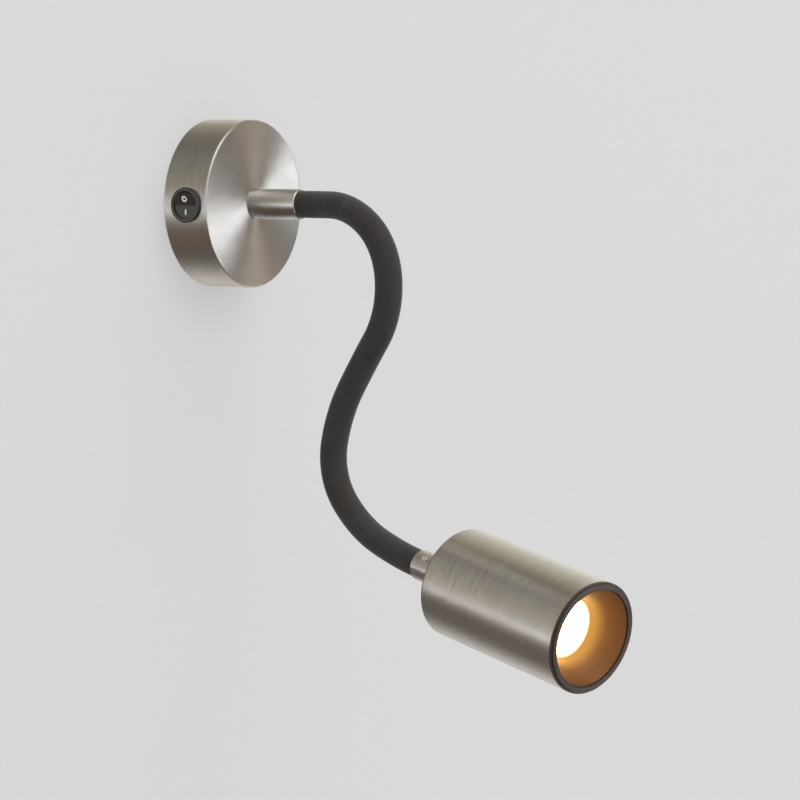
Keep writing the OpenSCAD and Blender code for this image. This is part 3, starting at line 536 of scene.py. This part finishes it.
def rolled_tube(name, start, end, radius, columns, row, relief):
    """A closed tube from start to end along the neck, with the braid as relief on it."""
    rows = round((end - start) / row)
    bpy.ops.object.select_all(action="DESELECT")
    bpy.ops.mesh.primitive_grid_add(x_subdivisions=columns, y_subdivisions=rows, size=1)
    tube = bpy.context.object
    tube.name = name
    mesh = tube.data
    stations = {}
    for vertex in mesh.vertices:
        across, share = vertex.co.x + 0.5, round(vertex.co.y + 0.5, 6)
        s = start + share * (end - start)
        if share not in stations:
            stations[share] = neck_at(s)
        point, way, side = stations[share]
        angle = 2 * math.pi * across
        proud = relief * (braid(across % 1, s / ROUND_LEN) - 0.5)
        lift = side * math.cos(angle) + way.cross(side) * math.sin(angle)
        vertex.co = (point + (radius + proud) * lift) * MM
    for loop in mesh.uv_layers[0].data:
        loop.uv.y = (start + loop.uv.y * (end - start)) / ROUND_LEN
    bpy.ops.object.mode_set(mode="EDIT")
    bpy.ops.mesh.select_all(action="SELECT")
    bpy.ops.mesh.remove_doubles(threshold=MERGE_DISTANCE)
    bpy.ops.mesh.select_all(action="DESELECT")
    bpy.ops.mesh.select_non_manifold()
    bpy.ops.mesh.fill_holes(sides=0)
    bpy.ops.mesh.select_all(action="SELECT")
    bpy.ops.mesh.normals_make_consistent(inside=False)
    bpy.ops.mesh.select_all(action="DESELECT")
    bpy.ops.object.mode_set(mode="OBJECT")
    bpy.ops.object.shade_smooth()
    return tube


# %% [markdown]
# ## Cloth finish
#
# Charcoal cotton is nearly black, with a soft bright rim where loose fibres catch the light.
# Sheen gives that rim. The colour drifts from warm to cool along the neck, and it is paler in
# random spots about the size of a thread. Fibres and fuzz are left to the bump.


# %% Cloth
CLOTH_WARM, CLOTH_COOL = (0.031, 0.027, 0.026), (0.037, 0.035, 0.036)
CLOTH_PALE_SPOT, PALE_SPOT_SHARE = (0.056, 0.053, 0.053), 0.6
FIBRE_HEIGHT = 0.05


def paint_cloth(tree):
    unrolled = tree.node("UVMap", {"uv_map": "UVMap"})
    stretched = tree.scaled(unrolled, THREADS)
    fibres = tree.noise(stretched, 6.0, detail=3.0, roughness=0.7)
    threads = tree.noise(stretched, 0.9)
    place = tree.place()
    drift = tree.noise(place, 0.05)
    fuzz = tree.noise(place, 3.2, detail=3.0, roughness=0.7)
    base = tree.blend(tree.ramp(drift, 0.35, 0.65), CLOTH_WARM, CLOTH_COOL)
    # paler in random spots about the size of a thread, from a noise on the unrolled cloth
    pale_spots = tree.ramp(threads, 0.45, 0.75) * PALE_SPOT_SHARE
    return {
        "Base Color": tree.blend(pale_spots, base, CLOTH_PALE_SPOT),
        "Roughness": tree.drifting(fuzz, 0.855, spread=0.15),
        "Sheen Weight": 0.25,
        "Sheen Roughness": 0.4,
        "Normal": tree.bump(fibres * 0.6 + fuzz * 0.4, 0.6, FIBRE_HEIGHT),
    }


finishes["woven_charcoal"] = finish("woven_charcoal", paint_cloth)

# %% [markdown]
# ## Six lengths of cloth
#
# A joint stands where one arc of the middle line ends and the next begins. Each tube reaches
# from halfway before its joint to halfway behind it, and the first and the last slip into the
# metal sleeves.

# %% Joints along the neck
JOINT_AT = [SIDE_LEN + BEND_LEN * bend for bend in (0, 1, 2, 4, 6, 7)]
MIDDLES = [(before + after) / 2 for before, after in zip(JOINT_AT, JOINT_AT[1:])]


def bend_with_neck(piece, n, reach):
    """Bake a piece's place into its mesh; the points reach mm before and after joint n are
    worked out but not used.
    """
    point, way, _ = neck_at(JOINT_AT[n])
    tuple((point - reach * way) * MM)
    tuple((point + reach * way) * MM)
    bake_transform(piece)


# %% Cloth on the neck
IN_SLEEVE = 3.8
CLOTH_REACH = 11.0
CLOTH_COLUMNS, CLOTH_ROW = 4 * THREADS, 0.3
seams = [-IN_SLEEVE, *MIDDLES, NECK_LEN + IN_SLEEVE]
for n in range(len(JOINT_AT)):
    piece = rolled_tube("woven_neck_%d" % (n + 1), seams[n], seams[n + 1],
                        CLOTH_R, CLOTH_COLUMNS, CLOTH_ROW, RELIEF)
    piece.data.materials.append(finishes["woven_charcoal"])
    piece.visible_glossy = False
    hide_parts("neck_sleeve_%d" % (n + 1))
    bend_with_neck(piece, n, CLOTH_REACH)
    print(piece.name, len(piece.data.polygons), "faces from", round(seams[n], 1), "to",
          round(seams[n + 1], 1))

# %% [markdown]
# ## The cable inside
#
# A CAD node rides on one body. The cable around a bend would then swing like a stick and cut
# through the canopy. So six plain rubber tubes take the place of its six lengths. The steel
# core around them opens only a little at each joint, so the stretch worked out round each
# joint is shorter for the cable than for the cloth.

# %% Six lengths of cable
CABLE_R = 2.4
CABLE_INSIDE = 36.5
CABLE_REACH = 6.0
CABLE_COLUMNS, CABLE_ROW, NO_RELIEF = 24, 0.8, 0.0
cable_seams = [-CABLE_INSIDE, *MIDDLES, NECK_LEN + CABLE_INSIDE]
for n in range(len(JOINT_AT)):
    piece = rolled_tube("bending_cable_%d" % (n + 1), cable_seams[n], cable_seams[n + 1],
                        CABLE_R, CABLE_COLUMNS, CABLE_ROW, NO_RELIEF)
    piece.data.materials.append(finishes["cable_rubber"])
    piece.visible_glossy = False
    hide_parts("neck_cable_%d" % (n + 1))
    bend_with_neck(piece, n, CABLE_REACH)
    print(piece.name, len(piece.data.polygons), "faces")

# %% [markdown]
# ## Wall and floor
#
# The lamp hangs on a pale wall. The wall is one big plane just behind the canopy, and a pale
# floor lies far below. More than half of their colour is a glow that only the camera sees, so
# they look as pale as in the photograph, keep soft shadows, and that glow doesn't light the
# lamp. From behind, the wall must not hide the lamp, so its back is clear. Both stay out of
# the metal's reflections, which are made in the next step.


# %% Backdrop
WALL = (0.70, 0.705, 0.715)
WALL_GLOW = 0.6
WALL_GAP = 0.0006
FLOOR_DEPTH = 0.9
BACKDROP_SIZE = 12


def pale(name, color, share):
    """A pale surface that takes shadows, with a share of its colour given as plain glow."""
    material = bpy.data.materials.new(name)
    tree = Tree(material)
    matte = tree.node("BsdfDiffuse", None, {"Color": color})
    own = tree.node("Emission", None, {"Color": color})
    ray = tree.node("LightPath", out="Is Camera Ray")
    mixed = tree.node("MixShader", None, {0: share, 1: matte, 2: own})
    shown = tree.node("MixShader", None, {0: ray, 1: matte, 2: mixed})
    behind = tree.node("NewGeometry", out="Backfacing")
    clear = tree.node("BsdfTransparent")
    both = tree.node("MixShader", None, {0: behind, 1: shown, 2: clear})
    tree.node("OutputMaterial", None, {"Surface": both})
    return material


def backdrop(name, location, rotation):
    """A big pale plane that metal doesn't show."""
    bpy.ops.mesh.primitive_plane_add(size=BACKDROP_SIZE, location=location, rotation=rotation)
    plane = bpy.context.object
    plane.name = name
    plane.data.materials.append(pale(name + "_paint", WALL, WALL_GLOW))
    plane.visible_glossy = False


backdrop("wall", (0, WALL_GAP, 0), (math.radians(90), 0, 0))
backdrop("floor", (0, -BACKDROP_SIZE / 2, -FLOOR_DEPTH), (0, 0, 0))

# %% [markdown]
# ## The room in the metal
#
# Metal shows what stands around it, so the world is a dark room with soft bright patches in
# it: a window on the left, a paler side on the right, light from above, and one small, very
# bright patch in front on the right, which draws the two fans on the canopy's face. A patch is
# a direction, a sharpness and a colour. Directions and sharpness were chosen one by one. A
# separate program solved for most of the colours, from how bright the metal is in places of
# the photograph, and they were then rounded and changed by hand until the bands on the canopy
# and the head lay about where the photograph has them. The camera itself never sees this room:
# past the wall and the floor it sees their pale grey.

# %% Room
LOW_LIGHT, HIGH_LIGHT = (0.065, 0.05, 0.042), (0.035, 0.032, 0.028)
PATCHES = (
    # left: the window, and dimmer patches round it
    ((-0.85, 0.52, -0.13), 120.0, (2.6, 2.6, 2.6)),
    ((-1.0, 0.3, -0.05), 25.0, (1.8, 1.95, 2.0)),
    ((-0.75, 0.5, 0.35), 20.0, (0.6, 0.52, 0.35)),
    ((-0.65, 0.75, 0.0), 20.0, (0.6, 0.56, 0.56)),
    ((-0.7, 0.3, -0.6), 12.0, (0.18, 0.1, 0.05)),
    ((-0.28, 0.86, -0.42), 12.0, (0.13, 0.13, 0.13)),
    # right
    ((1.0, 0.3, 0.1), 8.0, (0.95, 0.93, 0.9)),
    ((0.85, -0.4, -0.45), 40.0, (1.8, 1.55, 1.3)),
    ((0.85, -0.1, 0.5), 60.0, (2.4, 2.3, 2.2)),
    # in front: the patch that draws the fans, then two soft ones to the left of it
    ((0.49, -0.85, -0.15), 90.0, (9.8, 10.2, 10.8)),
    ((-0.42, -0.83, 0.36), 15.0, (1.4, 1.36, 1.3)),
    ((-0.5, -0.85, -0.05), 12.0, (0.6, 0.57, 0.54)),
    # above
    ((0.0, -0.67, 0.74), 12.0, (3.0, 2.9, 2.7)),
    ((0.2, -0.2, 1.0), 10.0, (0.5, 0.54, 0.55)),
    ((-0.5, 0.5, 0.7), 10.0, (0.5, 0.49, 0.48)),
    ((0.5, 0.5, 0.7), 10.0, (0.27, 0.2, 0.1)),
    ((0.72, 0.4, 0.5), 25.0, (0.5, 0.52, 0.45)),
    # below
    ((0.47, 0.4, -0.75), 10.0, (1.05, 1.02, 0.99)),
)
world = bpy.data.worlds.new("room")
scene.world = world
room = Tree(world)
looking = room.vector("NORMALIZE", room.node("TexCoord", out="Generated"))


def patch(direction, sharp, tint):
    """Light of one tint from a direction; a higher sharp makes a smaller patch."""
    unit = Vector(direction).normalized()
    facing = room.vector("DOT_PRODUCT", looking, unit, out="Value")
    return room.scaled(tint, facing.maths("MAXIMUM", facing, 0.0) ** sharp)


height = room.vector("DOT_PRODUCT", looking, (0, 0, 1), out="Value")
colour = room.blend(room.ramp(height, -0.8, 0.8), LOW_LIGHT, HIGH_LIGHT)
for direction, sharp, tint in PATCHES:
    colour = room.vector("ADD", colour, patch(direction, sharp, tint))
seen = room.node("LightPath", out="Is Camera Ray")
surroundings = room.node("Background", None, {
    "Color": room.blend(seen, colour, WALL), "Strength": 1.0,
})
room.node("OutputWorld", None, {"Surface": surroundings})
print("Bright patches in the room:", len(PATCHES))

# %% [markdown]
# ## Three soft lamps
#
# The wall, the cloth and the plastics need lamps. A large one in front on the right casts the
# faint shadow on the wall, a weak one on the left fills it, and a small one above brightens
# the tops. The metal has its bright patches instead, so neither the metal nor the camera sees
# the lamps themselves.


# %% Lamps
def soft_lamp(name, place, target, size, power, tint):
    """A square soft lamp that points at a target, all in metres, with its power in watts."""
    bpy.ops.object.light_add(type="AREA", location=place)
    lamp = bpy.context.object
    lamp.name = name
    lamp.data.size = size
    lamp.data.energy = power
    lamp.data.color = tint
    lamp.rotation_euler = (Vector(place) - Vector(target)).to_track_quat("Z", "Y").to_euler()
    lamp.visible_glossy = False
    lamp.visible_camera = False
    print(name, "gives", power, "W")


soft_lamp("key_lamp", (2.0, -2.6, 1.4), (0, -0.1, -0.1),
          size=1.8, power=15, tint=(1.0, 0.985, 0.97))
soft_lamp("fill_lamp", (-2.2, -2.6, 0.2), (0, -0.1, -0.1),
          size=2.0, power=3, tint=(0.97, 0.98, 1.0))
soft_lamp("ceiling_lamp", (0.42, -0.42, 2.0), (0, -0.02, -0.1),
          size=0.4, power=9, tint=(1.0, 0.99, 0.97))

# %% [markdown]
# ## Colours as they are
#
# Colours are shown as they are, with no film look.

# %% Colours as they are
scene.view_settings.view_transform = "Standard"
